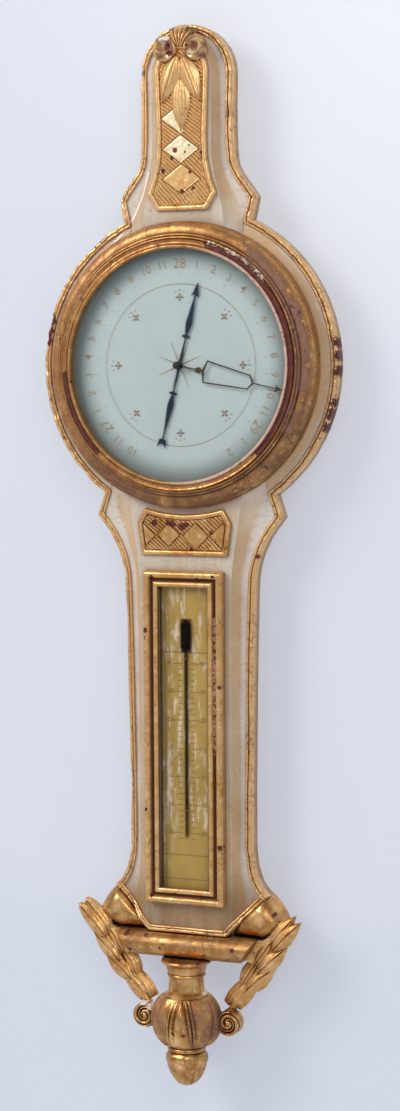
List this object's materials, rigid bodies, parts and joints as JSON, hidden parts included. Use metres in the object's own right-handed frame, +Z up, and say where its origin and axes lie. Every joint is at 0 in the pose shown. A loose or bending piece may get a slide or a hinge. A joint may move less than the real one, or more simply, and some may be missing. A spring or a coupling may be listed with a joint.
{
  "type": "wheel barometer",
  "caption": "Painted and gilded wooden wheel barometer with a round dial, a thermometer in a tall trunk and a turned pendant, hung on a wall.",
  "frame": {"origin": "centre of the hole in the hanging plate, on the wall plane at the back of the case", "axes": "+Z up, the dial and thermometer face -Y, +X is to the right of someone looking at the dial"},
  "size_m": [0.2978, 0.065, 1],
  "materials": {
    "raw_wood": "bare, aged",
    "gilt_wood": "water gilding worn to the bole, satin",
    "painted_wood": "distemper with a toned wax, eggshell",
    "dial_paper": "painted and varnished pasteboard, satin",
    "glass_pane": "thin clear glass",
    "blued_steel": "blued, satin",
    "steel": "drawn, satin",
    "iron": "wrought, oxidised",
    "brass": "aged, satin",
    "hand_wire": "aged nearly black, satin",
    "pulley_wood": "turned boxwood, satin",
    "knob_black": "blackened, half gloss",
    "scale_paint": "old yellow varnished paint, satin",
    "tube_glass": "drawn clear glass",
    "spirit": "dark red spirit, wet gloss",
    "mercury": "liquid metal, mirror",
    "silk": "twisted silk, matt"
  },
  "bodies": {
    "case": {"back_board": "raw_wood", "edge_moulding_left": "gilt_wood", "edge_moulding_right": "gilt_wood", "base_listel": "gilt_wood", "neck_field": "painted_wood", "neck_hollow": "painted_wood", "trunk_field": "painted_wood", "trunk_hollow_left": "painted_wood", "trunk_hollow_right": "painted_wood", "body_drum": "painted_wood", "bezel": "gilt_wood", "dial_board": "raw_wood", "dial_plate": "dial_paper", "dial_glass": "glass_pane", "glass_fillet": "raw_wood", "arbor_bush": "brass", "bridge": "brass", "bridge_screws": "iron", "frame_left": "gilt_wood", "frame_right": "gilt_wood", "frame_top": "gilt_wood", "frame_bottom": "gilt_wood", "thermometer_glass": "glass_pane", "scale_plate": "scale_paint", "thermometer_tube": "tube_glass", "thermometer_spirit": "spirit", "tube_ties": "brass", "crest_panel": "gilt_wood", "crest_leaves": "gilt_wood", "crest_dome_left": "gilt_wood", "crest_dome_right": "gilt_wood", "crest_shell": "gilt_wood", "lattice_panel": "gilt_wood", "scroll_left": "gilt_wood", "scroll_right": "gilt_wood", "base_bar": "gilt_wood", "pendant_neck": "gilt_wood", "pendant_ball": "gilt_wood", "pendant_bud": "gilt_wood", "laurel_left": "gilt_wood", "laurel_right": "gilt_wood", "volute_left": "gilt_wood", "volute_right": "gilt_wood", "siphon_tube": "tube_glass", "mercury": "mercury", "mercury_short": "mercury", "tube_straps": "brass", "strap_nails": "iron", "hanging_plate": "iron", "plate_screws": "iron"},
    "index": {"index_hand": "blued_steel", "index_arbor": "steel", "pulley": "pulley_wood"},
    "setting": {"setting_hand": "hand_wire", "setting_spindle": "brass", "setting_knob": "knob_black"},
    "float": {"float": "steel", "float_thread": "silk"},
    "counterweight": {"counterweight": "brass", "weight_thread": "silk"}
  },
  "joints": [
    {"name": "index_turn", "type": "hinge", "parent": "case", "child": "index", "pos_m": [0, 0, -0.2815], "axis": [0, 1, 0], "range_deg": [-150, 150]},
    {"name": "setting_turn", "type": "hinge", "parent": "case", "child": "setting", "pos_m": [0, 0, -0.2815], "axis": [0, 1, 0], "continuous": true},
    {"name": "float_slide", "type": "slide", "parent": "case", "child": "float", "axis": [0, 0, 1], "range_m": [-0.0158, 0.0158], "deforming": ["float_thread", "mercury_short"]},
    {"name": "counterweight_slide", "type": "slide", "parent": "case", "child": "counterweight", "axis": [0, 0, 1], "range_m": [-0.0158, 0.0158], "deforming": ["weight_thread"]}
  ],
  "couplings": [
    {"joint": "float_slide", "follows": "index_turn", "m_per_rad": -0.006},
    {"joint": "counterweight_slide", "follows": "index_turn", "m_per_rad": 0.006}
  ]
}
